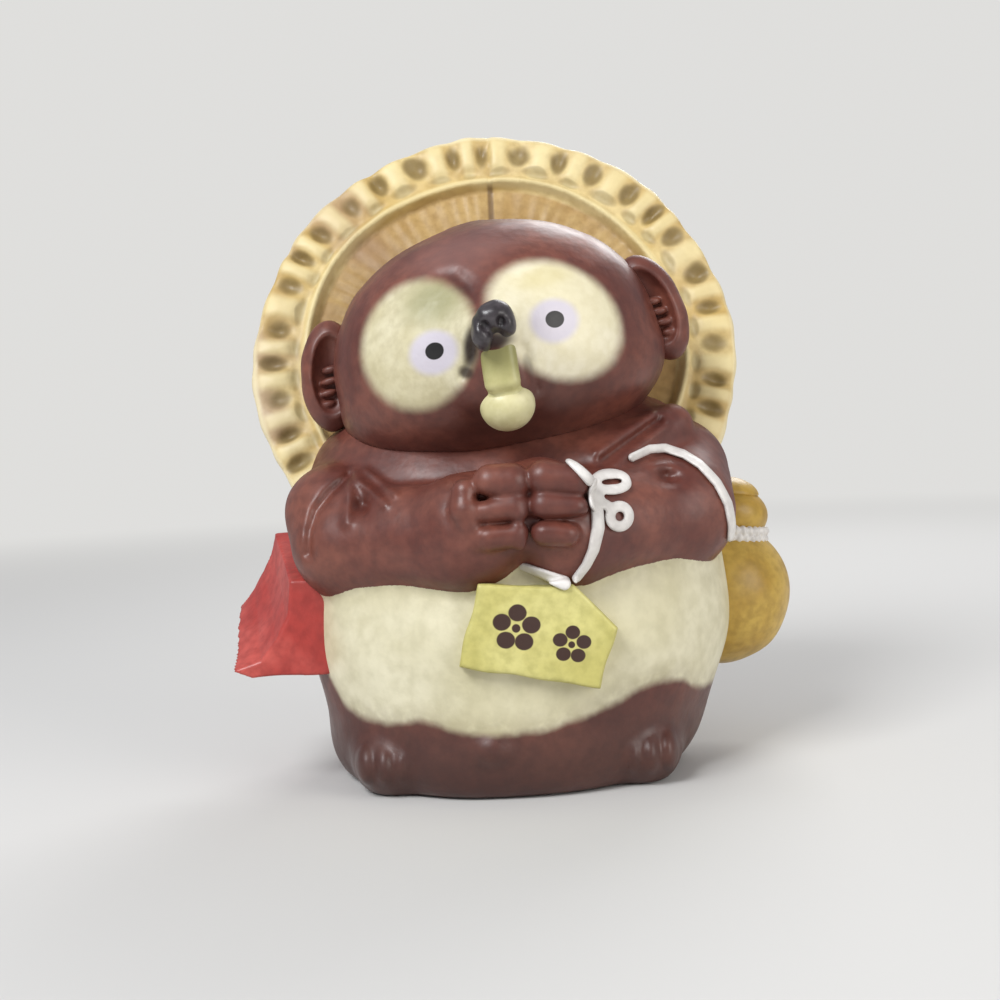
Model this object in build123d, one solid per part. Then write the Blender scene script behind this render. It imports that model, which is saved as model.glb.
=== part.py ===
from build123d import *
import math
import os

os.makedirs("parts", exist_ok=True)

# A painted earthenware tanuki: hollow cast body and head, with the hat, limbs and belongings luted on.
# The figure stands on z = 0 and faces -Y. Left and right are its own, so its right side is at -X.
# Lengths are in millimetres and angles in degrees. Sets of three are across, deep and high.
RIGHT = -1
LEFT = 1

# Length that every cutting solid runs past what it cuts.
overrun = 20.0

# Body
body_height = 107.0
body_half_width = 61.0
body_half_depth = 51.5
body_wall = 5.0
neck_hole_radius = 12.0
vent_radius = 9.0
vent_back = 18.0
# From the base up: height, half width, half depth, centre to the side and centre to the back, as shares of the
# body's height, half width and half depth.
body_section_shares = [
    (0.000, 0.770, 0.820, -0.016, -0.078),
    (0.045, 0.825, 0.870, -0.010, -0.078),
    (0.180, 0.905, 0.950, 0.022, -0.039),
    (0.370, 0.990, 1.000, 0.033, -0.019),
    (0.540, 0.980, 0.950, 0.033, 0.000),
    (0.690, 0.935, 0.850, 0.033, 0.050),
    (0.820, 0.930, 0.740, 0.033, 0.078),
    (0.910, 0.820, 0.600, 0.033, 0.097),
    (0.975, 0.600, 0.420, 0.033, 0.097),
    (1.000, 0.380, 0.270, 0.033, 0.097),
]

# Head: half sizes, how far its middle stands over the body, and its tilt.
head_radii = (46.5, 42.0, 36.0)
head_wall = 4.5
head_rise = 11.5
head_place_shares = (-0.013, -0.078)
head_tilt = 11.0
# From the chin up: height, half width and half depth as shares of the head's half sizes, heights from its middle.
head_section_shares = [
    (-0.975, 0.280, 0.280),
    (-0.830, 0.640, 0.575),
    (-0.610, 0.920, 0.830),
    (-0.360, 1.010, 0.930),
    (-0.110, 1.000, 0.990),
    (0.165, 0.975, 0.985),
    (0.445, 0.885, 0.895),
    (0.695, 0.712, 0.720),
    (0.890, 0.450, 0.458),
    (0.980, 0.220, 0.230),
]

# Features of the face: half sizes, then places from the skull's middle as shares of its half sizes.
snout_radii = (12.0, 17.0, 10.5)
snout_place_shares = (0.01, -0.90, 0.05)
nose_radii = (6.8, 6.0, 5.8)
nose_place_shares = (0.01, -1.24, 0.10)
muzzle_radii = (6.2, 5.0, 8.4)
muzzle_place_shares = (-0.01, -1.08, -0.20)
chin_radii = (8.0, 6.5, 6.4)
chin_place_shares = (-0.02, -0.96, -0.51)

# Ears: half sizes, the size and depth of the hollow in front, and how far the tops lean in.
ear_radii = (8.5, 7.0, 15.0)
ear_hollow_share = 0.66
ear_hollow_depth = 3.0
ear_lean = 12.0
right_ear_shares = (-1.03, 0.03, 0.07)
left_ear_shares = (0.985, -0.06, 0.03)

# Hat: a disc behind the head that leans back, with a raised ring, two rows of flutes and a domed crown.
hat_lean = 19.0
hat_back = 19.0
hat_radius = 72.5
hat_rim_thickness = 4.5
hat_ring_radius = 53.0
hat_ring_width = 5.0
hat_ring_height = 2.0
crown_radius = 50.0
crown_depth = 34.0
flank_depth = 11.0
flute_count = 36
flute_radius = 5.0
flute_depth = 1.7
flute_row_shares = (0.93, 0.82)

# Arms: radii and places at the shoulder, elbow and wrist, and at the right palm, as shares of the body's half
# width, half depth and height.
right_arm_radii = (16.0, 14.5, 15.0, 12.0)
right_arm_shares = [(-0.74, -0.10, 0.680), (-0.705, -0.46, 0.625), (-0.16, -0.84, 0.643), (0.14, -0.90, 0.724)]
left_arm_radii = (17.5, 15.0, 15.5)
left_arm_shares = [(0.770, -0.06, 0.748), (0.765, -0.38, 0.660), (0.260, -0.80, 0.640)]

# Right hand: four fingers side by side on the palm, one above the other, over the left forearm.
finger_count = 4
finger_radius = 3.7
finger_length = 30.0
finger_spacing = 5.7

# Feet, the bag between them and the tail
foot_radius = 10.5
heel_radius = 9.0
foot_length = 12.0
foot_place_shares = (0.55, -0.56)
foot_lift = 9.0
toe_count = 4
toe_radius = 3.6
toe_spacing = 4.8
toe_lift = 4.0
pouch_radii = (5.4, 4.6, 5.0)
pouch_side = 5.0
pouch_lift = 14.0
tail_radius = 13.0
tail_tip_radius = 7.0
tail_height = 44.0

# Account book: a block that hangs at the right hip, pitched forward, and flares at the foot.
book_depth = 32.0
book_height = 26.0
book_width = 28.0
# Outlines of the front and the back, as shares of the width and the height.
book_front_shares = [(0.50, 0.00), (-0.33, 0.00), (-0.93, -0.92), (-0.75, -1.00), (0.50, -1.00)]
book_back_shares = [(0.50, 0.43), (-0.63, 0.43), (-1.04, -0.38), (-0.90, -0.46), (0.50, -0.46)]
# Where these outlines are measured from, as shares of the body's half width, half depth and height.
book_place_shares = (-0.820, -0.50, 0.535)

# Gourd: radii of the large and the small bulb, how far apart they are, and where the small one is cut off flat, as
# a share of its radius. A domed stopper lies on the flat top and a cord round the waist.
gourd_radii = (21.5, 12.2)
gourd_spacing = 24.5
gourd_top_share = 0.53
gourd_tilt = 8.0
gourd_place_shares = (1.025, 0.30, 0.407)
waist_cord_radius = 2.0
stopper_radius = 9.5
stopper_height = 3.8

# Relief cords: how far they stand out of what they lie on, their width, and their routes seen from the front, as
# shares of the body's half width and height.
cord_relief = 1.4
cord_width = 2.6
ribbon_width = 3.2
shoulder_cord_shares = [(0.56, 0.808), (0.72, 0.826), (0.86, 0.782), (0.97, 0.690), (1.00, 0.575)]
bow_end_shares = [(0.265, 0.814), (0.345, 0.766)]
ribbon_shares = [(0.375, 0.715), (0.370, 0.645), (0.348, 0.600), (0.310, 0.560)]
short_string_shares = [(0.060, 0.566), (0.225, 0.528)]
# Where the reliefs on the forearm and hand begin, as a share of the body's half depth.
relief_back_share = -0.74
# Bow: its knot, an upper loop and a lower ring.
bow_knot_shares = (0.372, 0.728)
knot_width = 3.6
knot_height = 8.0
upper_loop_shares = (0.450, 0.756)
upper_loop_width = 11.0
upper_loop_height = 6.0
lower_ring_shares = (0.470, 0.676)
lower_ring_width = 7.8
loop_hole_share = 0.36

# Plaque: a five-sided tablet on the belly, its corners as shares of the width and height from the middle.
plaque_width = 39.0
plaque_height = 25.0
plaque_thickness = 9.0
plaque_roll = 8.0
plaque_lean = 4.0
plaque_corner_shares = [(-0.50, -0.42), (0.42, -0.50), (0.50, 0.12), (0.18, 0.50), (-0.42, 0.42)]
plaque_place_shares = (0.115, -1.00, 0.412)


def share_point(shares, sizes):
    """A place given as shares of sizes."""
    return tuple(share * size for share, size in zip(shares, sizes))


def body_point(shares):
    """A place given as shares of the body's half width, half depth and height."""
    return share_point(shares, (body_half_width, body_half_depth, body_height))


def front_point(shares):
    """A place seen from the front, given as shares of the body's half width and height."""
    return share_point(shares, (body_half_width, body_height))


def ellipsoid(radii):
    """A ball stretched to three half sizes, its poles to the front and back."""
    return scale(Rot(90, 0, 0) * Sphere(1), by=tuple(radii))


def capsule(start, start_radius, end, end_radius):
    """Two balls joined by the cone that touches both."""
    run = end - start
    slope = (start_radius - end_radius) / run.length
    flank = math.sqrt(1 - slope * slope)
    along = run.normalized()
    low = start + along * (start_radius * slope)
    high = end + along * (end_radius * slope)
    middle_plane = Plane(origin=(low + high) * 0.5, z_dir=along)
    if start_radius == end_radius:
        middle = Cylinder(start_radius, run.length)
    else:
        middle = Cone(start_radius * flank, end_radius * flank, (high - low).length)
    balls = Pos(start) * Sphere(start_radius) + Pos(end) * Sphere(end_radius)
    return balls + middle_plane * middle


def limb(shares, radii, extra=0.0):
    """An arm from the shoulder on, thicker all round by an extra."""
    points = [Vector(*body_point(share)) for share in shares]
    thick = [radius + extra for radius in radii]
    stretches = [capsule(*ends) for ends in zip(points, thick, points[1:], thick[1:])]
    return sum(stretches[1:], stretches[0])


def cut(piece, *others):
    """A piece without the room that its neighbours take."""
    for other in others:
        piece = piece - other
    return piece


below_ground = Pos(0, 0, -body_height / 2) * Box(4 * body_half_width, 4 * body_half_depth, body_height)


# Body
def body_solid(inset):
    """The body's form, smaller all round by an inset."""
    sections = []
    for height, width, depth, side, back in body_section_shares:
        level = inset + height * (body_height - 2 * inset)
        middle = (side * body_half_width, back * body_half_depth, level)
        outline = Ellipse(width * body_half_width - inset, depth * body_half_depth - inset)
        sections.append(Pos(*middle) * outline)
    return loft(sections)


body = body_solid(0)
top_section = body_section_shares[-1]
neck_place = Pos(top_section[3] * body_half_width, top_section[4] * body_half_depth, body_height)
neck_hole = neck_place * Cylinder(neck_hole_radius, 2 * body_wall + overrun)
vent_hole = Pos(0, vent_back, 0) * Cylinder(vent_radius, 2 * body_wall + overrun)
torso_shell = cut(body, body_solid(body_wall), neck_hole, vent_hole)

# Head
head_middle = Vector(*front_point((head_place_shares[0], 0)), 0) + Vector(
    0, head_place_shares[1] * body_half_depth, body_height + head_rise
)
head_frame = Pos(head_middle) * Rot(0, -head_tilt, 0)


def head_place(shares):
    """A place on the tilted head, given as shares of its half sizes."""
    return head_frame * Pos(*share_point(shares, head_radii))


def head_solid(inset):
    """Skull and cheeks, smaller all round by an inset."""
    across, deep, high = [radius - inset for radius in head_radii]
    sections = [
        Pos(0, 0, level * high) * Ellipse(width * across, depth * deep)
        for level, width, depth in head_section_shares
    ]
    return head_frame * loft(sections)


head = [head_solid(0), head_place(snout_place_shares) * ellipsoid(snout_radii)]
head_shell = cut(head[0] + head[1], head_solid(head_wall), body)

nose_form = head_place(nose_place_shares) * ellipsoid(nose_radii)
muzzle_form = head_place(muzzle_place_shares) * ellipsoid(muzzle_radii)
chin_form = head_place(chin_place_shares) * ellipsoid(chin_radii)
nose = cut(nose_form, *head)
muzzle = cut(muzzle_form, *head, nose_form)
chin = cut(chin_form, *head, muzzle_form)


# Arms
finger_forward = right_arm_radii[-1] - finger_radius / 2


def fingers(extra=0.0):
    """The right hand's fingers, thicker all round by an extra."""
    palm_middle = Vector(*body_point(right_arm_shares[-1]))
    half = Vector(finger_length / 2 - finger_radius, 0, 0)
    rows = []
    for row in range(finger_count):
        level = (row - (finger_count - 1) / 2) * finger_spacing
        middle = palm_middle + Vector(0, -finger_forward, level)
        rows.append(capsule(middle - half, finger_radius + extra, middle + half, finger_radius + extra))
    return sum(rows[1:], rows[0])


right_arm_form = limb(right_arm_shares, right_arm_radii) + fingers()
left_arm_form = limb(left_arm_shares, left_arm_radii)
right_arm = cut(right_arm_form, body, *head)
left_arm = cut(left_arm_form, body, *head, right_arm_form)

# Hat
hat_angle = math.radians(hat_lean)
hat_axis = Vector(0, math.cos(hat_angle), -math.sin(hat_angle))
hat_plane = Plane(origin=head_middle + Vector(0, hat_back, 0), x_dir=(1, 0, 0), z_dir=hat_axis)


def dome_middle():
    """The point halfway along the crown's arc, whose centre lies on the hat's axis."""
    rise = crown_depth - flank_depth
    dome_radius = (crown_radius**2 + rise**2) / (2 * rise)
    half_turn = math.asin(crown_radius / dome_radius) / 2
    return (dome_radius * math.sin(half_turn), crown_depth - dome_radius * (1 - math.cos(half_turn)))


def hat_solid():
    """Brim, raised ring and crown, turned round the hat's own axis."""
    rim_turn = hat_rim_thickness / 2
    front = Polyline(
        (0, 0),
        (hat_ring_radius - hat_ring_width / 2, 0),
        (hat_ring_radius, -hat_ring_height),
        (hat_ring_radius + hat_ring_width / 2, 0),
        (hat_radius - rim_turn, 0),
    )
    rim = ThreePointArc(front @ 1, (hat_radius, rim_turn), (hat_radius - rim_turn, hat_rim_thickness))
    flank = Line(rim @ 1, (crown_radius, flank_depth))
    dome = ThreePointArc((crown_radius, flank_depth), dome_middle(), (0, crown_depth))
    axis_line = Line((0, crown_depth), (0, 0))
    return revolve(Plane.XZ * make_face([front, rim, flank, dome, axis_line]), Axis.Z)


def flutes():
    """Two rows of round hollows in the front of the brim, the second row half a step round."""
    hollows = []
    for row, share in enumerate(flute_row_shares):
        for index in range(flute_count):
            turn = (index + row / 2) * 360 / flute_count
            place = Rot(0, 0, turn) * Pos(share * hat_radius, 0, flute_depth - flute_radius)
            hollows.append(hat_plane.location * place * Sphere(flute_radius))
    return hollows


hat_form = hat_plane.location * hat_solid()
straw_hat = cut(hat_form, body, *head, right_arm_form, left_arm_form) - flutes()


# Ears
def ear(side, shares):
    """A small cupped ear on the side of the head."""
    place = head_place(shares) * Rot(0, -side * ear_lean, 0)
    hollow = Pos(0, ear_hollow_depth - ear_radii[1], 0) * ellipsoid(
        [ear_hollow_share * radius for radius in ear_radii]
    )
    return cut(place * (ellipsoid(ear_radii) - hollow), *head, hat_form, body)


# Feet, bag and tail
def foot(side):
    """A foot with its toes, flat underneath."""
    across, forward = foot_place_shares
    middle = Vector(side * across * body_half_width, forward * body_half_depth, foot_lift)
    form = capsule(middle + Vector(0, foot_length, 0), heel_radius, middle, foot_radius)
    for index in range(toe_count):
        offset = (index - (toe_count - 1) / 2) * toe_spacing
        drop = (offset / foot_radius) ** 2 * toe_radius
        toe = middle + Vector(offset, toe_radius / 2 + drop - foot_radius, toe_lift)
        form += Pos(toe) * Sphere(toe_radius)
    return cut(form, body, below_ground)


def section_front(index):
    """How far forward the body reaches at one of its sections."""
    return (body_section_shares[index][4] - body_section_shares[index][2]) * body_half_depth


def section_back(index):
    """How far back the body reaches at one of its sections."""
    return (body_section_shares[index][4] + body_section_shares[index][2]) * body_half_depth


pouch_form = Pos(-pouch_side, section_front(1), pouch_lift) * ellipsoid(pouch_radii)
money_pouch = cut(pouch_form, body, below_ground)
tail_root = Vector(0, section_back(1), tail_radius / 2)
tail_tip = Vector(0, section_back(3), tail_height)
tail = cut(capsule(tail_root, tail_radius, tail_tip, tail_tip_radius), below_ground, body)


# Account book
def book_end(shares, back):
    """The outline of one end of the book."""
    corners = [share_point(corner, (book_width, book_height)) for corner in shares]
    return Pos(0, back, 0) * (Plane.XZ * make_face(Polyline(*corners, close=True)))


def book_solid():
    """A block lofted from its front to its back, which is higher and further out."""
    block = loft([book_end(book_front_shares, 0), book_end(book_back_shares, book_depth)], ruled=True)
    return Pos(*body_point(book_place_shares)) * block


book_form = book_solid()
account_book = cut(book_form, body, right_arm_form)

# Gourd
gourd_frame = Pos(*body_point(gourd_place_shares)) * Rot(0, gourd_tilt, 0)
large_radius, small_radius = gourd_radii
waist_level = (gourd_spacing**2 + large_radius**2 - small_radius**2) / (2 * gourd_spacing)
waist_radius = math.sqrt(large_radius**2 - waist_level**2)
top_level = gourd_spacing + gourd_top_share * small_radius


def gourd_solid():
    """Two bulbs that meet at a waist, flat on top."""
    top_radius = small_radius * math.sqrt(1 - gourd_top_share**2)
    large = ThreePointArc((0, -large_radius), (large_radius, 0), (waist_radius, waist_level))
    small = ThreePointArc(large @ 1, (small_radius, gourd_spacing), (top_radius, top_level))
    top = Polyline(small @ 1, (0, top_level), (0, -large_radius))
    return revolve(Plane.XZ * make_face([large, small, top]), Axis.Z)


def stopper_solid():
    """A low dome on the gourd's flat top."""
    dome_radius = (stopper_radius**2 + stopper_height**2) / (2 * stopper_height)
    half_turn = math.asin(stopper_radius / dome_radius) / 2
    halfway = (dome_radius * math.sin(half_turn), stopper_height - dome_radius * (1 - math.cos(half_turn)))
    dome = ThreePointArc((stopper_radius, 0), halfway, (0, stopper_height))
    outline = make_face([dome, Polyline(dome @ 1, (0, 0), (stopper_radius, 0))])
    return Pos(0, 0, top_level) * revolve(Plane.XZ * outline, Axis.Z)


waist_cord = Pos(0, 0, waist_level) * Torus(waist_radius + waist_cord_radius / 2, waist_cord_radius)
gourd_form = gourd_frame * gourd_solid()
waist_cord_form = gourd_frame * waist_cord
gourd = cut(gourd_form, body, left_arm_form)
gourd_cord = cut(waist_cord_form, gourd_form, body, left_arm_form)
gourd_stopper = cut(gourd_frame * stopper_solid(), body, left_arm_form)


# Plaque
def plaque_solid(extra=0.0):
    """A five-sided tablet, rolled a little and set into the belly, larger all round by an extra."""
    outer = (plaque_width + 2 * extra, plaque_height + 2 * extra)
    corners = [share_point(shares, outer) for shares in plaque_corner_shares]
    tablet = extrude(make_face(Polyline(*corners, close=True)), plaque_thickness / 2 + extra, both=True)
    place = Pos(*body_point(plaque_place_shares)) * Rot(90 - plaque_lean, 0, 0) * Rot(0, 0, -plaque_roll)
    return place * tablet


plaque_form = plaque_solid()
plaque = cut(plaque_form, body, right_arm_form, left_arm_form)

# Relief cords lie on the body, the left arm, the hand and the plaque, on layers as thick as their relief.
body_layer = body_solid(-cord_relief)
left_layer = limb(left_arm_shares, left_arm_radii, cord_relief)
hand_layer = fingers(cord_relief)
plaque_layer = plaque_solid(cord_relief)
carriers = [body, left_arm_form, right_arm_form, plaque_form]


def band(route, width):
    """A band along a route seen from the front, with round ends and corners."""
    points = [Vector(*front_point(share)) for share in route]
    shape = Pos(points[0]) * Circle(width / 2)
    for start, end in zip(points, points[1:]):
        run = end - start
        turn = math.degrees(math.atan2(run.Y, run.X))
        shape += Pos((start + end) * 0.5) * Rot(0, 0, turn) * Rectangle(run.length, width)
        shape += Pos(end) * Circle(width / 2)
    return shape


def raised(pattern, back_share, layers, *also_cut):
    """A pattern seen from the front, raised on the layers behind it, from a plane further back."""
    forward = body_half_depth + left_arm_radii[2] + overrun
    prism = Pos(0, back_share * body_half_depth, 0) * extrude(Plane.XZ * pattern, forward)
    shape = prism & layers[0]
    for layer in layers[1:]:
        shape += prism & layer
    return cut(shape, *carriers, *also_cut)


def bow_pattern():
    """Knot, upper loop and lower ring, seen from the front."""
    knot = Pos(*front_point(bow_knot_shares)) * Ellipse(knot_width / 2, knot_height / 2)
    loop = Ellipse(upper_loop_width / 2, upper_loop_height / 2)
    loop -= Ellipse(loop_hole_share * upper_loop_width / 2, loop_hole_share * upper_loop_height / 2)
    ring = Circle(lower_ring_width / 2) - Circle(loop_hole_share * lower_ring_width / 2)
    halfway = tuple((start + end) / 2 for start, end in zip(bow_knot_shares, lower_ring_shares))
    link = band([bow_knot_shares, halfway], cord_width)
    bow = knot + Pos(*front_point(upper_loop_shares)) * loop
    return bow + Pos(*front_point(lower_ring_shares)) * ring + link


cord_bow = raised(bow_pattern(), relief_back_share, [left_layer, hand_layer])
finger_plane_share = right_arm_shares[-1][1] - finger_forward / body_half_depth
bow_end = raised(band(bow_end_shares, cord_width), finger_plane_share, [hand_layer], cord_bow)
ribbon = band(ribbon_shares, ribbon_width)
plaque_cord = raised(ribbon, relief_back_share, [left_layer, plaque_layer], cord_bow)
string = band(short_string_shares, cord_width)
plaque_string = raised(string, relief_back_share, [body_layer, left_layer, plaque_layer])
over_shoulder = band(shoulder_cord_shares, cord_width)
shoulder_cord = raised(over_shoulder, 0, [left_layer, body_layer], gourd_form, waist_cord_form)

pieces = {
    "torso_shell": torso_shell,
    "head_shell": head_shell,
    "straw_hat": straw_hat,
    "right_ear": ear(RIGHT, right_ear_shares),
    "left_ear": ear(LEFT, left_ear_shares),
    "nose": nose,
    "muzzle": muzzle,
    "chin": chin,
    "right_arm": right_arm,
    "left_arm": left_arm,
    "right_foot": foot(RIGHT),
    "left_foot": foot(LEFT),
    "money_pouch": money_pouch,
    "tail": tail,
    "account_book": account_book,
    "gourd": gourd,
    "gourd_stopper": gourd_stopper,
    "gourd_cord": gourd_cord,
    "shoulder_cord": shoulder_cord,
    "cord_bow": cord_bow,
    "bow_end": bow_end,
    "plaque_cord": plaque_cord,
    "plaque_string": plaque_string,
    "plaque": plaque,
}

for name, shape in pieces.items():
    export_step(shape, f"parts/{name}.step")
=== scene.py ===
import math
from functools import partial

import bpy
import numpy as np
from mathutils import Matrix, Vector


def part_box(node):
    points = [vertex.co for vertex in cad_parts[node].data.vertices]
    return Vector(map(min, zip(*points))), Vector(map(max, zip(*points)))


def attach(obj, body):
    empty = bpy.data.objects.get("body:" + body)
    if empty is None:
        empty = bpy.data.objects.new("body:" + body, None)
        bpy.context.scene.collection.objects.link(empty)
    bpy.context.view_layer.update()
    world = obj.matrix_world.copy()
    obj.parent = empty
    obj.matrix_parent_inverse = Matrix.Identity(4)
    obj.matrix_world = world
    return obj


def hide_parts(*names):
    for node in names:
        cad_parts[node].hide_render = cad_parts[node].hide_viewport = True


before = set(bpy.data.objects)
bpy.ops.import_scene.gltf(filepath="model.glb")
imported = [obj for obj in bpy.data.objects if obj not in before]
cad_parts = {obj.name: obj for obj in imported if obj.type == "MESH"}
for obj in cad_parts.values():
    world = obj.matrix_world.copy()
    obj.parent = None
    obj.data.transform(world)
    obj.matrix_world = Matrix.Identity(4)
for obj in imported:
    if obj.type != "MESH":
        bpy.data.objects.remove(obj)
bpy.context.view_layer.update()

# Shapes are modelled in millimetres, in the part's frame, and brought to metres when their mesh is made.
MM = 0.001

# Camera
CAMERA_PLACE = (-1.33, -400.5, 96.2)
CAMERA_PITCH = 3.0
CAMERA_ROLL = 2.77
LENS = 50.0

# Body, as in the part's source: heights, half widths, half depths, middles across and middles back.
BODY_SIZE = (61.0, 51.5, 107.0)
BODY_SECTIONS = [
    (0, 0.77, 0.82, -0.016, -0.078), (0.045, 0.825, 0.87, -0.01, -0.078), (0.18, 0.905, 0.95, 0.022, -0.039),
    (0.37, 0.99, 1, 0.033, -0.019), (0.54, 0.98, 0.95, 0.033, 0), (0.69, 0.935, 0.85, 0.033, 0.05),
    (0.82, 0.93, 0.74, 0.033, 0.078), (0.91, 0.82, 0.6, 0.033, 0.097), (0.975, 0.6, 0.42, 0.033, 0.097),
    (1, 0.38, 0.27, 0.033, 0.097),
]

# Head: middle, half sizes, tilt and sections (height, half width, half depth).
HEAD_MIDDLE = (-0.79, -4.02, 118.5)
HEAD_SIZE = (46.5, 42.0, 36.0)
HEAD_TILT = 11.0
HEAD_SECTIONS = [
    (-0.975, 0.28, 0.28), (-0.83, 0.64, 0.575), (-0.61, 0.92, 0.83), (-0.36, 1.01, 0.93), (-0.11, 1, 0.99),
    (0.165, 0.975, 0.985), (0.445, 0.885, 0.895), (0.695, 0.712, 0.72), (0.89, 0.45, 0.458),
    (0.98, 0.22, 0.23),
]

# Hat: middle, lean, radii of rim, ring and dimples, the seam's place across and the number of flutes.
HAT_MIDDLE = (-0.79, 14.98, 118.5)
HAT_LEAN = 19.0
HAT_RADIUS = 72.0
HAT_RING = 56.6
DIMPLE_RADIUS = 65.8
HAT_SEAM = 1.0
FLUTES = 36

# Places of the eyes on the head, across and up from its middle.
RIGHT_EYE = (-15.5, 0.8)
LEFT_EYE = (16.2, 1.4)


# Arithmetic of shapes. A form takes points (n, 3) and gives their distances from its surface, which are
# negative inside.
def joined(a, b, blend):
    """Two distances joined, with a fillet about as large as the blend."""
    share = np.clip(0.5 + 0.5 * (b - a) / blend, 0, 1)
    return b + (a - b) * share - blend * share * (1 - share)


def common(a, b, blend):
    """What lies in both, with a rounded edge."""
    return -joined(-a, -b, blend)


def carved(a, b, blend):
    """The first without the second, with a rounded edge."""
    return common(a, -b, blend)


def local(p, middle, axes=None):
    """Points seen from a middle, along axes given as columns."""
    q = p - np.float32(middle)
    return q if axes is None else q @ np.float32(axes)


def turn_about(axis, degrees):
    """The rotation matrix about x, y or z, as columns of the turned axes."""
    return np.array(Matrix.Rotation(math.radians(degrees), 3, axis), dtype=np.float32)


def ball(p, middle, radii, axes=None):
    """An ellipsoid."""
    q = local(p, middle, axes)
    r = np.float32(radii)
    near = np.linalg.norm(q / r, axis=1)
    far = np.linalg.norm(q / (r * r), axis=1)
    return near * (near - 1) / np.maximum(far, 1e-6)


def rod(p, start, start_radius, end, end_radius):
    """A tapered rod with round ends."""
    a, b = np.float32(start), np.float32(end)
    run = b - a
    q = p - a
    share = np.clip(q @ run / (run @ run), 0, 1)
    gap = np.linalg.norm(q - share[:, None] * run, axis=1)
    return gap - (start_radius + share * (end_radius - start_radius))


def chain(p, points, radii, blend):
    """Rods from point to point."""
    rods = [rod(p, *ends) for ends in zip(points, radii, points[1:], radii[1:])]
    shape = rods[0]
    for other in rods[1:]:
        shape = joined(shape, other, blend)
    return shape


def smooth_table(table, count=240):
    """A table of sections, read finely along a smooth curve through its rows."""
    rows = np.array(table, dtype=np.float64)
    level = rows[:, 0]
    slope = np.gradient(rows, level, axis=0)
    fine = np.linspace(level[0], level[-1], count)
    index = np.clip(np.searchsorted(level, fine, side="right") - 1, 0, len(level) - 2)
    run = (level[index + 1] - level[index])[:, None]
    t = (fine - level[index])[:, None] / run
    return fine, (
        (2 * t**3 - 3 * t**2 + 1) * rows[index]
        + (t**3 - 2 * t**2 + t) * run * slope[index]
        + (3 * t**2 - 2 * t**3) * rows[index + 1]
        + (t**3 - t**2) * run * slope[index + 1]
    )


BODY_LEVELS, BODY_ROWS = smooth_table(BODY_SECTIONS)
HEAD_LEVELS, HEAD_ROWS = smooth_table(HEAD_SECTIONS)


def oval(across, deep, half_width, half_depth):
    """Distance from an ellipse in the plane."""
    near = np.hypot(across / half_width, deep / half_depth)
    far = np.hypot(across / half_width**2, deep / half_depth**2)
    return near * (near - 1) / np.maximum(far, 1e-6)


def bump(p, middle, size):
    """A soft bump, 1 at its middle."""
    return np.exp(-np.sum((local(p, middle) / np.float32(size)) ** 2, axis=1))


def segment_gap(across, up, start, end):
    """Distance from a segment in the plane, and the share of it at which its nearest point lies."""
    run_x, run_z = end[0] - start[0], end[1] - start[1]
    dx, dz = across - start[0], up - start[1]
    share = np.clip((dx * run_x + dz * run_z) / (run_x**2 + run_z**2), 0, 1)
    return np.hypot(dx - share * run_x, dz - share * run_z), share


def route_distance(p, route, widths):
    """Distance from a route seen from the front, less its half width, which may change along it."""
    gap = np.inf
    for start, end, first, last in zip(route, route[1:], widths, widths[1:]):
        reach, share = segment_gap(p[:, 0], p[:, 2], start, end)
        gap = np.minimum(gap, reach - (first + share * (last - first)))
    return gap


# Creases and hollows lie in front of the middle plane, and have their full depth from this far before it.
FRONT_FADE = 6.0


def in_front(p):
    """0 behind the middle plane and 1 well before it."""
    return np.clip(-p[:, 1] / FRONT_FADE, 0, 1)


def creased(p, shape, folds):
    """Grooves, or with a negative depth ridges, along routes seen from the front: route, width and depth."""
    for route, width, depth in folds:
        gap = route_distance(p, route, [0.0] * len(route))
        shape = shape + depth * np.exp(-((gap / width) ** 2)) * in_front(p)
    return shape


def hollow(p, shape, across, up, size, depth):
    """A soft hollow, or with a negative depth a swelling, seen from the front."""
    reach = ((p[:, 0] - across) / size[0]) ** 2 + ((p[:, 2] - up) / size[1]) ** 2
    return shape + depth * np.exp(-reach) * in_front(p)


def hand_made(p, size, depth):
    """The slight unevenness of pressed clay."""
    x, y, z = (p / size).T
    broad = np.sin(1.7 * x + 0.8 * z + 0.6) * np.sin(1.3 * y + 1.1 * z)
    fine = np.sin(2.9 * x - 1.9 * y + 2.3 * z + 1.4) * 0.5
    return depth * (broad + fine)


# Body
def body_form(p):
    """The body with its rounded lower edge."""
    width, depth, height = BODY_SIZE
    level = p[:, 2] / height
    read = [np.interp(level, BODY_LEVELS, BODY_ROWS[:, i]) for i in range(1, 5)]
    across = p[:, 0] - read[2] * width
    deep = p[:, 1] - read[3] * depth
    shape = oval(across, deep, read[0] * width, read[1] * depth) + hand_made(p, 13.0, 0.28)
    return common(common(shape, -p[:, 2], 3.0), p[:, 2] - height, 2.0)


RIGHT_ARM = [(-45.1, -5.2, 72.8), (-43.0, -23.7, 66.4), (-9.8, -43.3, 68.2)]
RIGHT_ARM_RADII = (16.0, 14.3, 14.7)
RIGHT_PALM = ((-9.8, -43.3, 71.0), 14.0, (9.0, -45.6, 76.4), 11.6)
CUFF = [(-9.8, -56.4, 80.6), (-9.8, -57.0, 76.0), (-8.2, -56.4, 68.6)]
CUFF_RADII = (3.2, 3.7, 3.0)
# Swellings of the sleeve: middle, half sizes and blend
SLEEVE = [((-46.5, -17.5, 76.5), (13.5, 13.0, 11.5), 6.0), ((-38.0, -22.5, 75.5), (10.0, 11.5, 10.5), 4.0)]
LEFT_ARM = [(47.0, -3.1, 80.0), (46.7, -19.6, 70.6), (15.9, -41.2, 68.5)]
LEFT_ARM_RADII = (17.5, 15.0, 15.5)
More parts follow.
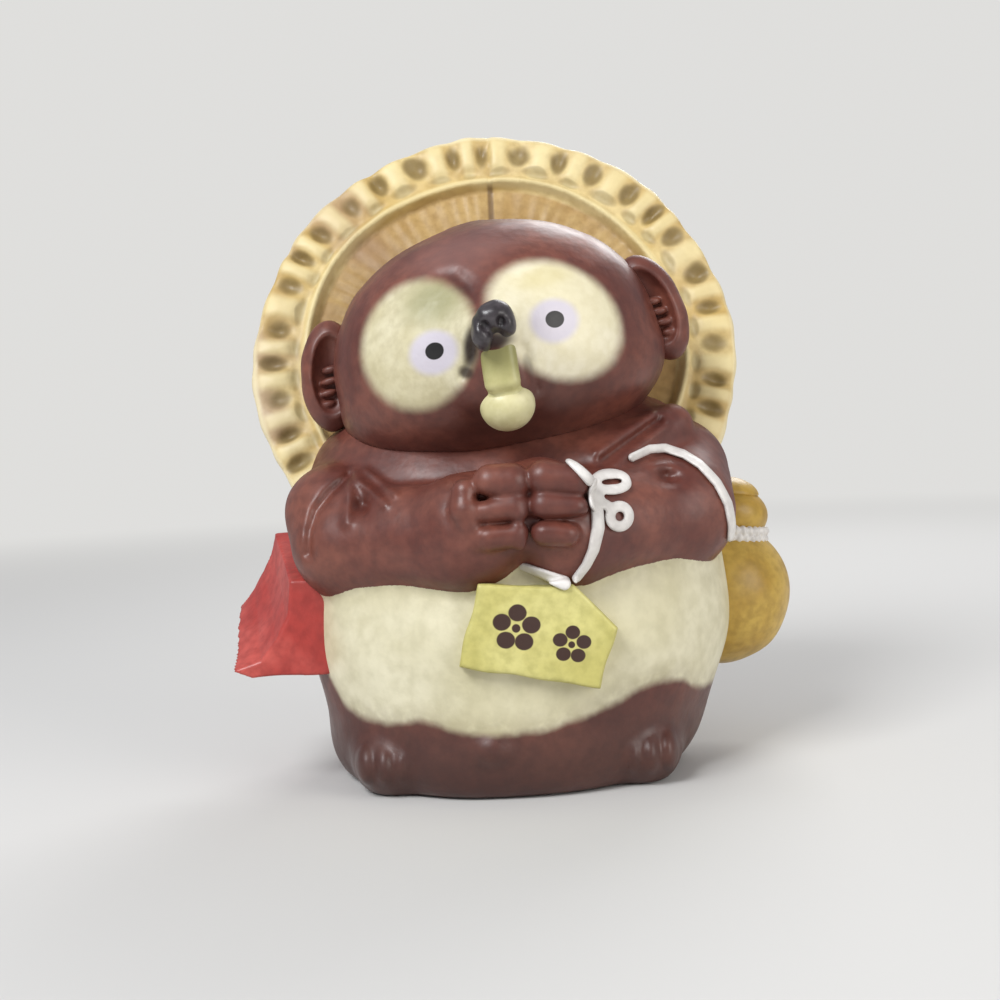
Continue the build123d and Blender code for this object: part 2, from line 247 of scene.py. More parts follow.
# Finger rows of the right hand, from the top down: both ends of the knuckle part and of the tip part, as
# place across, place up and radius. The rod joins the two parts of the lower rows.
FINGER_ROWS = [
    ((-3.4, 82.6, 4.6), (1.8, 82.6, 4.7), (9.8, 83.2, 4.7), (17.2, 82.0, 4.2)),
    ((-4.4, 75.6, 3.7), (2.0, 76.2, 4.1), (9.6, 76.4, 3.9), (17.0, 75.4, 3.6)),
    ((-4.4, 69.2, 3.6), (1.8, 69.6, 3.4), (9.4, 69.8, 3.6), (14.6, 69.4, 3.4)),
]
FINGER_FRONT = -61.0
FINGER_ROD = ((2.9, -58.6, 74.0), 2.3, (2.9, -57.8, 67.4), 1.8)
# Routes with their width and depth: between the lower fingers, the crease and the ridge at the shoulder, the
# folds in the crook of the elbow, and the folds of skin between the left cheek and shoulder
SHOULDER_CREASES = [
    ([(-6.0, 72.5), (1.6, 72.7), (14.0, 72.6)], 1.3, 0.7),
    ([(-41.8, 84.6), (-46.7, 80.6), (-50.1, 76.2), (-51.8, 71.0), (-52.3, 65.5)], 1.6, 1.8),
    ([(-41.4, 83.6), (-41.0, 78.6), (-41.4, 73.5)], 1.5, -1.0),
]
SLEEVE_FOLDS = [([(-36.6, 86.6), (-28.4, 80.4)], 1.2, -0.9), ([(-38.6, 83.8), (-31.0, 77.8)], 1.2, -0.9)]
NECK_FOLDS = [
    ([(24.6, 88.2), (32.6, 92.8), (41.2, 97.6)], 1.4, -1.0),
    ([(26.4, 86.3), (34.3, 91.0), (43.1, 96.0)], 1.2, 1.7),
    ([(30.1, 85.4), (37.8, 90.0), (44.6, 94.4)], 1.2, -0.9),
]


def right_arm_form(p):
    """Upper arm, forearm and the hand on top, with its creases."""
    arm = chain(p, RIGHT_ARM, RIGHT_ARM_RADII, 4.0)
    arm = joined(arm, rod(p, *RIGHT_PALM), 3.0)
    hand = None
    for knuckle, joint, bend, tip in FINGER_ROWS:
        for start, end in ((knuckle, joint), (bend, tip)):
            ends = [(x, FINGER_FRONT + r, z) for x, z, r in (start, end)]
            finger = rod(p, ends[0], start[2], ends[1], end[2])
            hand = finger if hand is None else joined(hand, finger, 1.0)
    arm = joined(arm, hand, 1.4)
    arm = joined(arm, chain(p, CUFF, CUFF_RADII, 1.0), 1.2)
    arm = joined(arm, rod(p, *FINGER_ROD), 1.2)
    for middle, size, blend in SLEEVE:
        arm = joined(arm, ball(p, middle, size), blend)
    arm = arm + hand_made(p, 11.0, 0.22)
    # Pits at the ends of the rows between the fingers
    arm = hollow(p, arm, -5.6, 79.0, (2.4, 1.3), 1.3)
    arm = hollow(p, arm, 17.4, 72.6, (2.6, 1.7), 1.6)
    arm = creased(p, arm, SHOULDER_CREASES)
    # The pit in the crook of the elbow, and the folds beside it
    arm = hollow(p, arm, -37.6, 77.0, (2.2, 2.6), 2.2)
    return creased(p, arm, SLEEVE_FOLDS)


def left_arm_form(p):
    """Upper arm and forearm, with a dent inside the elbow and the folds of the neck."""
    arm = chain(p, LEFT_ARM, LEFT_ARM_RADII, 5.0)
    arm = joined(arm, ball(p, (50.0, -9.0, 76.0), (12.6, 14.0, 13.0)), 4.0)
    arm = arm + hand_made(p, 12.0, 0.25)
    arm = hollow(p, arm, 43.6, 80.6, (3.4, 1.9), 2.4)
    arm = hollow(p, arm, 40.4, 84.6, (3.6, 1.8), -1.2)
    return creased(p, arm, NECK_FOLDS)


def torso_form(p):
    """The body with the roll of skin at the left of the neck and its folds."""
    roll = rod(p, (25.0, -29.0, 83.5), 7.5, (47.0, -13.0, 94.0), 6.5)
    return creased(p, joined(body_form(p), roll, 6.0), NECK_FOLDS)


FOOT_ACROSS = 32.5
TOE_PITCH = 4.9


def foot_form(p, side):
    """A low foot with four toes, which spread and stand back at its sides."""
    across = side * FOOT_ACROSS
    foot = ball(p, (across, -27.0, 8.6), (12.4, 15.8, 11.2))
    for index in range(4):
        offset = (index - 1.5) * TOE_PITCH
        back = (offset / 10.5) ** 2 * 4.2
        turn = turn_about("Z", -offset * 1.6)
        toe = ball(p, (across + offset, -39.0 + back, 8.8), (2.8, 5.0, 5.2), turn)
        foot = joined(foot, toe, 1.0)
    return foot


right_foot_form, left_foot_form = (partial(foot_form, side=side) for side in (-1, 1))


def pouch_form(p):
    """The bag between the feet."""
    return ball(p, (-6.0, -47.6, 14.0), (5.8, 4.6, 4.5))


# Both ends of the tail, its radius at the root, and how much thinner its tip is
TAIL_ROOT = (1.0, 43.0, 8.0)
TAIL_TIP = (1.0, 49.0, 43.0)
TAIL_RADIUS = 11.4
TAIL_TAPER = 4.4


def tail_form(p):
    """A bushy tail that lies up the back, with locks of fur."""
    start, end = np.float32(TAIL_ROOT), np.float32(TAIL_TIP)
    run = end - start
    q = p - start
    share = q @ run / (run @ run)
    within = np.clip(share, 0, 1)
    angle = np.arctan2(q[:, 0], q[:, 1])
    radius = TAIL_RADIUS - TAIL_TAPER * within ** 1.6
    lock = 0.55 * np.sin(9 * angle + 5 * np.sin(4 * share)) * np.clip(share + 0.2, 0, 1)
    gap = np.linalg.norm(q - within[:, None] * run, axis=1)
    return common(gap - radius - lock, -p[:, 2], 1.5)


# Head
HEAD_AXES = turn_about("Y", -HEAD_TILT)
# Swellings of the cheeks, under and beside the eyes: height, middle and size
CHEEKS = [
    (1.3, (-22.0, -30.0, -10.0), (13, 14, 11)),
    (1.3, (22.0, -30.0, -10.0), (13, 14, 11)),
    (0.9, (-16.5, -38.0, 3.0), (11, 9, 12)),
    (0.9, (17.0, -38.0, 2.0), (11, 9, 12)),
]
# Brow, mouth and the left of the pad under the nose: route, width and depth
FACE_CREASES = [
    ([(-9.5, 20.0), (-5.6, 19.2), (-3.0, 15.0), (-2.0, 9.0)], 2.0, 0.8),
    ([(-4.8, 2.0), (-6.4, -3.4), (-9.6, -7.4)], 1.3, 1.3),
    ([(6.4, -3.6), (7.2, -9.0), (7.4, -14.5)], 1.4, 1.0),
]
RIGHT_EAR = (-47.2, 0.6, 3.6)
LEFT_EAR = (46.0, -3.6, 0.4)


def head_form(p):
    """Skull, cheeks and snout, with the creases of the brow and mouth."""
    q = local(p, HEAD_MIDDLE, HEAD_AXES)
    width, depth, height = HEAD_SIZE
    level = q[:, 2] / height
    read = [np.interp(level, HEAD_LEVELS, HEAD_ROWS[:, i]) for i in (1, 2)]
    shape = oval(q[:, 0], q[:, 1], read[0] * width, read[1] * depth)
    # The ends of the stack of sections are closed with a ball, because they are so steep there.
    shape = common(shape, ball(q, (0, 0, 0), (width * 1.15, depth * 1.15, height * 1.0)), 6.0)
    shape = joined(shape, ball(q, (0.2, -37.0, 2.6), (11.0, 15.0, 9.0)), 7.0)
    shape = joined(shape, ball(q, (-0.5, -37.5, -9.0), (11.5, 8.5, 10.5)), 6.0)
    shape = shape + hand_made(q, 12.0, 0.22)
    for height, middle, size in CHEEKS:
        shape = shape - height * bump(q, middle, size)
    return creased(q, shape, FACE_CREASES)


def nose_form(p):
    """Black nose with two wings and two nostrils."""
    q = local(p, HEAD_MIDDLE, HEAD_AXES)
    nose = ball(q, (0.9, -51.4, 4.9), (4.8, 5.0, 3.9), turn_about("Y", -8.0))
    for side, drop in ((-1, 1.0), (1, 0.0)):
        nose = joined(nose, ball(q, (0.4 + side * 3.3, -50.8, 2.6 - drop), (2.6, 4.6, 3.4 + drop)), 0.8)
        nose = carved(nose, ball(q, (0.4 + side * 2.0, -56.0, 2.9), (1.2, 2.0, 1.4)), 0.7)
    return nose + hand_made(q, 2.4, 0.2)


def muzzle_form(p):
    """The upright pad under the nose."""
    q = local(local(p, HEAD_MIDDLE, HEAD_AXES), (-0.2, -44.4, -6.4), turn_about("Y", 5.0))
    q = np.abs(q) - np.float32((2.1, 2.0, 4.8))
    outer = np.linalg.norm(np.maximum(q, 0), axis=1) + np.minimum(q.max(axis=1), 0)
    return outer - 2.5


def chin_form(p):
    """The round chin."""
    q = local(p, HEAD_MIDDLE, HEAD_AXES)
    return ball(q, (-0.7, -40.8, -17.0), (7.1, 6.8, 6.6))


def ear_form(p, side):
    """A cupped ear: a thick rim with a hollow and small ridges in it."""
    middle = RIGHT_EAR if side < 0 else LEFT_EAR
    q = local(local(p, HEAD_MIDDLE, HEAD_AXES), middle, turn_about("Y", -side * 12.0))
    ear = ball(q, (0, 0, 0), (8.4, 7.0, 15.8))
    cup = ball(q, (-side * 1.0, -6.4, 0.2), (5.6, 5.6, 12.0))
    ear = carved(ear, cup, 1.2)
    for index in range(4):
        place = (side * (1.2 - 0.5 * index), -2.6, -8.2 + index * 3.3)
        ear = joined(ear, ball(q, place, (2.7, 1.5, 1.1), turn_about("Y", side * 14.0)), 0.7)
    return ear + hand_made(q, 4.0, 0.12)


# Hat
HAT_AXES = turn_about("X", -HAT_LEAN)


def near_step(angle, count, shift=0.0):
    """How far an angle is from the nearest of evenly spaced ones, in radians."""
    step = 2 * math.pi / count
    return (angle / step - shift - np.round(angle / step - shift)) * step


# How far the flutes wander round the brim: radians, waves a turn, start
HAT_DRIFT = [(0.018, 7, 0.5), (0.016, 13, 1.1)]
# How far the recessed band inside the ring lies behind the brim's front
BAND_DEPTH = 1.9
# Outline of the hat's back: radius and distance behind the brim's front
CROWN = [(0, 34), (12, 32.6), (24, 28.6), (36, 21.8), (50, 11), (70, 4.7), (74, 4.2)]


def hat_form(p):
    """Fluted brim, raised ring, recessed band and a domed crown behind."""
    q = local(p, HAT_MIDDLE, HAT_AXES)
    radius = np.hypot(q[:, 0], q[:, 2])
    angle = np.arctan2(q[:, 0], q[:, 2])
    angle = angle + sum(size * np.sin(count * angle + start) for size, count, start in HAT_DRIFT)
    crest = 0.5 - 0.5 * np.cos(FLUTES * angle)
    wobble = 0.5 * np.sin(3 * angle + 1.0) + 0.45 * np.sin(8 * angle + 2.2) + 0.35 * crest
    brim = HAT_RADIUS - 0.3 + wobble
    outer = near_step(angle, FLUTES)
    inner = near_step(angle, FLUTES, 0.5)
    sway = 0.5 * np.sin(5 * angle) + 0.5 * np.sin(11 * angle + 0.7)
    ring = HAT_RING + 0.6 * np.sin(5 * angle)
    front = np.interp(radius - ring, [-60, -2.4, -0.6], [BAND_DEPTH, BAND_DEPTH, 0.0])
    front = front - 1.2 * np.exp(-((radius - ring) / 1.25) ** 2)
    front = front - (0.8 + 0.7 * crest) * np.exp(-(np.abs(radius - 65.0) / 6.4) ** 3)
    uneven = 0.8 + 0.3 * np.sin(5.3 * angle + 2.0) * np.sin(17 * angle)
    reach = (radius - DIMPLE_RADIUS - sway) / 3.5
    dimple = np.exp(-((outer * radius / 2.5) ** 2)) * np.exp(-(reach**2)) * uneven
    small = np.exp(-((inner * radius / 3.4) ** 2)) * np.exp(-(((radius - 59.8) / 1.5) ** 2)) * (1.6 - uneven)
    hatch = np.cos(74 * angle) * np.exp(-(((radius - 49.0) / 5.5) ** 4))
    front = front + 2.7 * dimple + 1.4 * small + 0.14 * hatch
    seam = np.exp(-((q[:, 0] - HAT_SEAM) / 0.8) ** 2) * (q[:, 2] > 0)
    front = front + 0.6 * seam + hand_made(q, 7.0, 0.2)
    back = np.interp(radius, *zip(*CROWN))
    back = back + 0.25 * np.cos(FLUTES * angle) * np.clip((radius - 20) / 30, 0, 1)
    shape = common(front - q[:, 1], (q[:, 1] - back) * 0.85, 1.6)
    return common(shape, radius - brim, 1.8)


# Belongings
BOOK_MIDDLE = (-50.02, -25.75, 57.25)
BOOK_SIZE = (28.0, 32.0, 26.0)
BOOK_FRONT = [(0.50, 0.00), (-0.33, 0.00), (-0.38, -0.38), (-0.49, -0.62), (-0.66, -0.83), (-0.93, -0.92),
              (-0.75, -1.00), (0.50, -1.00)]
BOOK_BACK = [(0.50, 0.43), (-0.63, 0.43), (-0.69, 0.22), (-0.77, 0.01), (-0.88, -0.18), (-1.04, -0.38),
             (-0.90, -0.46), (0.50, -0.46)]


def polygon(across, up, corners):
    """Distance from a polygon whose corners may differ from point to point."""
    gap = np.inf
    inside = np.zeros(len(across), dtype=bool)
    for start, end in zip(corners, corners[1:] + corners[:1]):
        gap = np.minimum(gap, segment_gap(across, up, start, end)[0])
        (ax, az), (bx, bz) = start, end
        rise = np.where(np.abs(bz - az) < 1e-6, 1e-6, bz - az)
        inside ^= ((az > up) != (bz > up)) & (across < ax + (bx - ax) * (up - az) / rise)
    return np.where(inside, -gap, gap)


def book_form(p):
    """A block whose front outline turns into its back outline, with a hollowed outer face."""
    q = local(p, BOOK_MIDDLE)
    width, depth, height = BOOK_SIZE
    share = np.clip(q[:, 1] / depth, 0, 1)
    corners = [
        ((fx + (bx - fx) * share) * width, (fz + (bz - fz) * share) * height)
        for (fx, fz), (bx, bz) in zip(BOOK_FRONT, BOOK_BACK)
    ]
    shape = polygon(q[:, 0], q[:, 2], corners)
    shape = common(shape, np.abs(q[:, 1] - depth / 2) - depth / 2, 0.8)
    shape = shape + 0.5 * bump(q, (-19.0, 12.0, -5.0), (7.0, 12.0, 9.0))
    return shape + 0.4 * bump(q, (-6.0, 14.0, 2.0), (6, 12, 5)) + hand_made(q, 8.0, 0.18)


GOURD_MIDDLE = (62.5, 15.45, 43.55)
GOURD_AXES = turn_about("Y", 8.0)


def gourd_form(p):
    """Two bulbs with a waist."""
    q = local(p, GOURD_MIDDLE, GOURD_AXES)
    large = ball(q, (0, 0, 0), (21.6, 21.5, 21.2))
    small = ball(q, (0, 0, 24.2), (12.6, 12.2, 8.6))
    return joined(large, small, 4.0) + hand_made(q, 9.0, 0.22)


def stopper_form(p):
    """A dome that sits on the small bulb."""
    q = local(p, GOURD_MIDDLE, GOURD_AXES)
    return common(ball(q, (0, 0, 29.6), (9.6, 9.6, 5.4)), 29.8 - q[:, 2], 1.0)


def waist_cord_form(p):
    """Two strands of cord round the waist, twisted in opposite ways."""
    q = local(p, GOURD_MIDDLE, GOURD_AXES)
    radius = np.hypot(q[:, 0], q[:, 1])
    twist = 0.25 * np.sin(34 * np.arctan2(q[:, 0], q[:, 1]))
    lower = np.hypot(radius - 12.0, q[:, 2] - 18.6 + 1.1) - 1.35 + twist
    upper = np.hypot(radius - 12.0, q[:, 2] - 18.6 - 1.1) - 1.35 - twist
    return joined(lower, upper, 0.5)


PLAQUE_MIDDLE = (7.0, -51.5, 44.1)
PLAQUE_SIZE = (39.0, 9.0, 25.0)
PLAQUE_CORNERS = [(-0.50, -0.42), (0.42, -0.50), (0.50, 0.12), (0.18, 0.50), (-0.42, 0.42)]
PLAQUE_AXES = turn_about("X", -4.0) @ turn_about("Y", 8.0)


def plaque_form(p):
    """A five-sided tablet with a slightly uneven face."""
    q = local(p, PLAQUE_MIDDLE, PLAQUE_AXES)
    width, thick, height = PLAQUE_SIZE
    corners = [(x * width, z * height) for x, z in PLAQUE_CORNERS]
    shape = polygon(q[:, 0], q[:, 2], corners)
    face = np.abs(q[:, 1]) - thick / 2 + 0.3
    face = face + 0.45 * bump(q, (7.5, -thick / 2, 6.0), (7, 9, 3.5))
    face = face - 0.3 * bump(q, (2.0, -thick / 2, 9.0), (6, 9, 3))
    shape = shape + hand_made(q, 6.0, 0.3)
    return common(shape, face, 1.2)


# Raised cords: routes seen from the front, across and up.
SHOULDER_ROUTE = [
    (34.2, 86.5), (39.5, 88.4), (44.0, 88.4), (48.8, 86.6), (52.7, 83.7), (56.8, 78.6), (59.6, 72.8),
    (60.8, 67.0), (60.9, 63.5),
]
BOW_END_ROUTE = [(16.2, 87.1), (18.6, 84.8), (21.1, 82.0)]
RIBBON_ROUTE = [(22.9, 76.5), (22.8, 70.0), (21.4, 64.6), (19.4, 60.6), (17.0, 57.4)]
STRING_ROUTE = [(3.7, 60.6), (8.8, 58.6), (13.7, 56.5)]


def raised(p, pattern, carriers, relief, front):
    """A pattern that stands out of what carries it, only in front of a plane."""
    under = carriers[0](p)
    for carrier in carriers[1:]:
        under = joined(under, carrier(p), 1.5)
    shape = common(pattern, under - relief, 1.1)
    shape = np.maximum(shape, -under - 1.2)
    return np.maximum(shape, p[:, 1] - front)


def cord_form(route, widths, carriers, front):
    """A raised cord along a route."""
    return lambda p: raised(p, route_distance(p, route, widths), carriers, 1.3, front)


# The cord over the left arm to the gourd, the short end over the fingers, the string that the tablet hangs by
# and the other string, which comes out from under the hand
SHOULDER_WIDTHS = np.linspace(1.15, 1.5, len(SHOULDER_ROUTE))
shoulder_cord_form = cord_form(SHOULDER_ROUTE, SHOULDER_WIDTHS, [left_arm_form, torso_form], 12.0)
bow_end_form = cord_form(BOW_END_ROUTE, (0.9, 1.2, 1.4), [right_arm_form], -50.0)
ribbon_form = cord_form(
    RIBBON_ROUTE, (1.6, 1.7, 1.5, 1.3, 1.2), [left_arm_form, body_form, plaque_form], -38.0
)
string_form = cord_form(STRING_ROUTE, (1.1, 1.4, 1.7), [body_form, left_arm_form, plaque_form], -38.0)


def bow_form(p):
    """Knot with an upper loop and a lower ring."""
    knot = oval(p[:, 0] - 22.7, p[:, 2] - 78.0, 2.2, 4.4)
    x, z = p[:, 0] - 27.4, p[:, 2] - 80.9
    loop = np.abs(oval(x + 0.1 * z, z, 4.0, 1.9)) - 1.25
    ring = np.abs(np.hypot(p[:, 0] - 28.6, p[:, 2] - 72.3) - 2.5) - 1.35
    link = route_distance(p, [(22.9, 77.0), (26.4, 74.6)], (1.3, 1.3))
    pattern = joined(joined(joined(knot, loop, 0.8), ring, 0.5), link, 0.5)
    return raised(p, pattern, [left_arm_form, right_arm_form], 1.5, -38.0)


# Meshes
def add_object(name, data):
    """An object in the scene."""
    made = bpy.data.objects.new(name, data)
    bpy.context.scene.collection.objects.link(made)
    return made


def sampled(field, low, high, step, coarse=4):
    """The field on a grid, worked out in full only near its surface."""
    blocks = np.ceil((np.array(high) - low) / (coarse * step)).astype(int)
    grid = np.stack(np.meshgrid(*[np.arange(n) for n in blocks], indexing="ij"), axis=-1).reshape(-1, 3)
    middles = (np.array(low) + (grid + 0.5 - 0.5 / coarse) * coarse * step).astype(np.float32)
    rough = field(middles).astype(np.float32)
    near = np.abs(rough) < 8.0 * step + 1.0
    values = np.repeat(rough[:, None], coarse**3, axis=1)
    inner = np.stack(np.meshgrid(*[np.arange(coarse)] * 3, indexing="ij"), axis=-1).reshape(-1, 3)
    points = np.array(low) + (grid[near][:, None, :] * coarse + inner[None]) * step
    values[near] = field(points.reshape(-1, 3).astype(np.float32)).reshape(-1, coarse**3)
    values = values.reshape(*blocks, coarse, coarse, coarse).transpose(0, 3, 1, 4, 2, 5)
    return values.reshape(*(blocks * coarse))


def surface_net(values):
    """Corners and four-sided faces of the surface where a grid of values changes sign."""
    cells = tuple(np.array(values.shape) - 1)
    total = np.zeros(cells + (3,), dtype=np.float32)
    count = np.zeros(cells, dtype=np.float32)
    faces = []
    crossings = []
    for axis in range(3):
        near, far = np.delete(values, -1, axis), np.delete(values, 0, axis)
        cross = (near < 0) != (far < 0)
        share = np.where(cross, near / np.where(cross, near - far, 1), 0)
        u, v = (a for a in range(3) if a != axis)
        for du in (0, 1):
            for dv in (0, 1):
                part = [slice(None)] * 3
                part[u], part[v] = slice(du, du + cells[u]), slice(dv, dv + cells[v])
                hit = cross[tuple(part)]
                total[..., axis] += share[tuple(part)]
                total[..., u] += du * hit
                total[..., v] += dv * hit
                count += hit
        crossings.append((axis, u, v, cross, near < 0))
    used = count > 0
    number = -np.ones(cells, dtype=np.int64)
    number[used] = np.arange(int(used.sum()))
    corners = np.argwhere(used) + total[used] / count[used][:, None]
    for axis, u, v, cross, starts_inside in crossings:
        at = np.argwhere(cross)
        keep = (at[:, u] > 0) & (at[:, v] > 0) & (at[:, u] < cells[u]) & (at[:, v] < cells[v])
        at = at[keep]
        ring = []
        for du, dv in ((1, 1), (0, 1), (0, 0), (1, 0)):
            cell = at.copy()
            cell[:, u] -= du
            cell[:, v] -= dv
            ring.append(number[tuple(cell.T)])
        quad = np.stack(ring, axis=1)
        flip = starts_inside[tuple(at.T)] if axis != 1 else ~starts_inside[tuple(at.T)]
        quad[~flip] = quad[~flip][:, ::-1]
        faces.append(quad)
    return corners, np.concatenate(faces)


# How far apart a field is read for its slope, either way
NUDGES = np.float32(np.eye(3) * 0.2)


def settled(field, points, step):
    """Points moved onto the surface by two short steps down its slope."""
    for _ in range(2):
        here = field(points)
        slope = np.stack([field(points + nudge) - field(points - nudge) for nudge in NUDGES], axis=1) / 0.4
        length = np.maximum(np.sum(slope**2, axis=1), 0.2)
        move = -(here / length)[:, None] * slope
        reach = np.linalg.norm(move, axis=1)[:, None]
        points = points + move * np.minimum(1, 0.6 * step / np.maximum(reach, 1e-6))
    return points.astype(np.float32)


def largest_part(faces):
    """The faces that hang together, edge to edge, with most of the others."""
    ends = np.sort(np.stack([faces, np.roll(faces, -1, axis=1)], axis=2).reshape(-1, 2), axis=1)
    codes = ends[:, 0] * (ends.max() + 1) + ends[:, 1]
    _, edge, count = np.unique(codes, return_inverse=True, return_counts=True)
    order = np.argsort(edge, kind="stable")
    owner = np.repeat(np.arange(len(faces)), 4)
    pairs = owner[order][(count == 2)[edge[order]]].reshape(-1, 2)
    label = np.arange(len(faces))
    while True:
        lower = label.copy()
        np.minimum.at(lower, pairs.ravel(), np.repeat(label[pairs].min(axis=1), 2))
        lower = lower[lower]
        if np.array_equal(lower, label):
            break
        label = lower
    return faces[label == np.bincount(label).argmax()]


# Room round a CAD node's box that its form may use, and how much coarser a quick mesh is
MARGIN = 4.0


def add_piece(node, form, step):
    """A mesh of the form in the room of a CAD node, which it replaces.

    The mesh is closed where the form leaves that room.
    """
    low, high = (np.array(corner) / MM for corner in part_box(node))
    low, high = low - MARGIN, high + MARGIN
    middle, half = (low + high) / 2, (high - low) / 2 - 1.5 * step

    def field(p):
        return np.maximum(form(p), np.max(np.abs(p - middle) - half, axis=1))

    corners, faces = surface_net(sampled(field, low, high, step))
    used, faces = np.unique(largest_part(faces), return_inverse=True)
    corners, faces = corners[used], faces.reshape(-1, 4)
    points = settled(field, (low + corners * step).astype(np.float32), step)
    mesh = bpy.data.meshes.new(node + "_form")
    mesh.vertices.add(len(points))
    mesh.vertices.foreach_set("co", (points * MM).ravel())
    mesh.loops.add(faces.size)
    mesh.loops.foreach_set("vertex_index", faces.ravel().astype(np.int32))
    mesh.polygons.add(len(faces))
    mesh.polygons.foreach_set("loop_start", np.arange(0, faces.size, 4, dtype=np.int32))
    mesh.polygons.foreach_set("loop_total", np.full(len(faces), 4, dtype=np.int32))
    mesh.update(calc_edges=True)
    mesh.validate()
    mesh.shade_smooth()
    piece = add_object(node + "_piece", mesh)
    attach(piece, "root")
    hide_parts(node)
    return piece


# Height at which the forms are cut off, and how deep the ears go into the head
GROUND = 0.05
EAR_DEPTH = 1.0
# How smoothly touching pieces melt into each other, and how far the softer clay on top stands out
MELT = 2.4
LIFT = 0.03
# A piece goes on this far under what lies on it, and sinks in there: how deep, from where, and over what run
UNDERLAP = 3.0
UNDERLAP_SINK = (0.3, 1.2, 1.4)
# At its own edge a piece sinks in too: how deep and over what run
EDGE_SINK = (0.08, 1.6)


def owned(own, on=(), under=(), blend=MELT, lift=LIFT):
    """A form that melts into its neighbours.

    It stops at what it lies on and goes on a little under what lies on it.
    """
    def field(p):
        mine = own(p)
        theirs = [other(p) for other in on]
        above = [other(p) for other in under]
        whole = mine
        for gap in theirs + above:
            whole = joined(whole, gap, blend)
        whole = whole - lift
        sink, start, run = UNDERLAP_SINK
        for gap in above:
            share = mine - gap
            whole = np.maximum(whole + sink * np.clip((share - start) / run, 0, 1), share - UNDERLAP)
        sink, run = EDGE_SINK
        for gap in theirs:
            share = gap - mine
            whole = np.maximum(whole + sink * np.clip(1 - share / run, 0, 1), -share)
        return whole
    return field


def below_ground(form):
    """A form cut off flat at the ground."""
    return lambda p: common(form(p), GROUND - p[:, 2], 1.0)


def ear_piece(side):
    """An ear that ends a little inside the head."""
    return lambda p: carved(ear_form(p, side), head_form(p) + EAR_DEPTH, 0.5)


# Materials
def linear(code):
    """A colour written as six hexadecimal digits, as Blender's linear colour."""
    parts = [int(code[i:i + 2], 16) / 255 for i in (0, 2, 4)]
    return tuple(c / 12.92 if c <= 0.04045 else ((c + 0.055) / 1.055) ** 2.4 for c in parts) + (1.0,)


def feed(socket, value):
    """Links an output to a socket, or sets the socket to a number, or to a colour given by its code."""
    if isinstance(value, bpy.types.NodeSocket):
        socket.id_data.links.new(value, socket)
    else:
        socket.default_value = linear(value) if isinstance(value, str) else value


def add_node(tree, kind, **values):
    """A node. Values with a name in lower case are its settings, the others go to its inputs."""
    made = tree.nodes.new(kind)
    for name, value in values.items():
        if name.islower():
            setattr(made, name, value)
        else:
            feed(made.inputs[name.replace("_", " ")], value)
    return made


def add_shader_mix(tree, share, first, second, output):
    """Sends a mix of two shaders to the output node."""
    made = add_node(tree, "ShaderNodeMixShader")
    for socket, source in zip(made.inputs, (share, first, second)):
        feed(socket, source)
    feed(tree.nodes[output].inputs["Surface"], made.outputs[0])


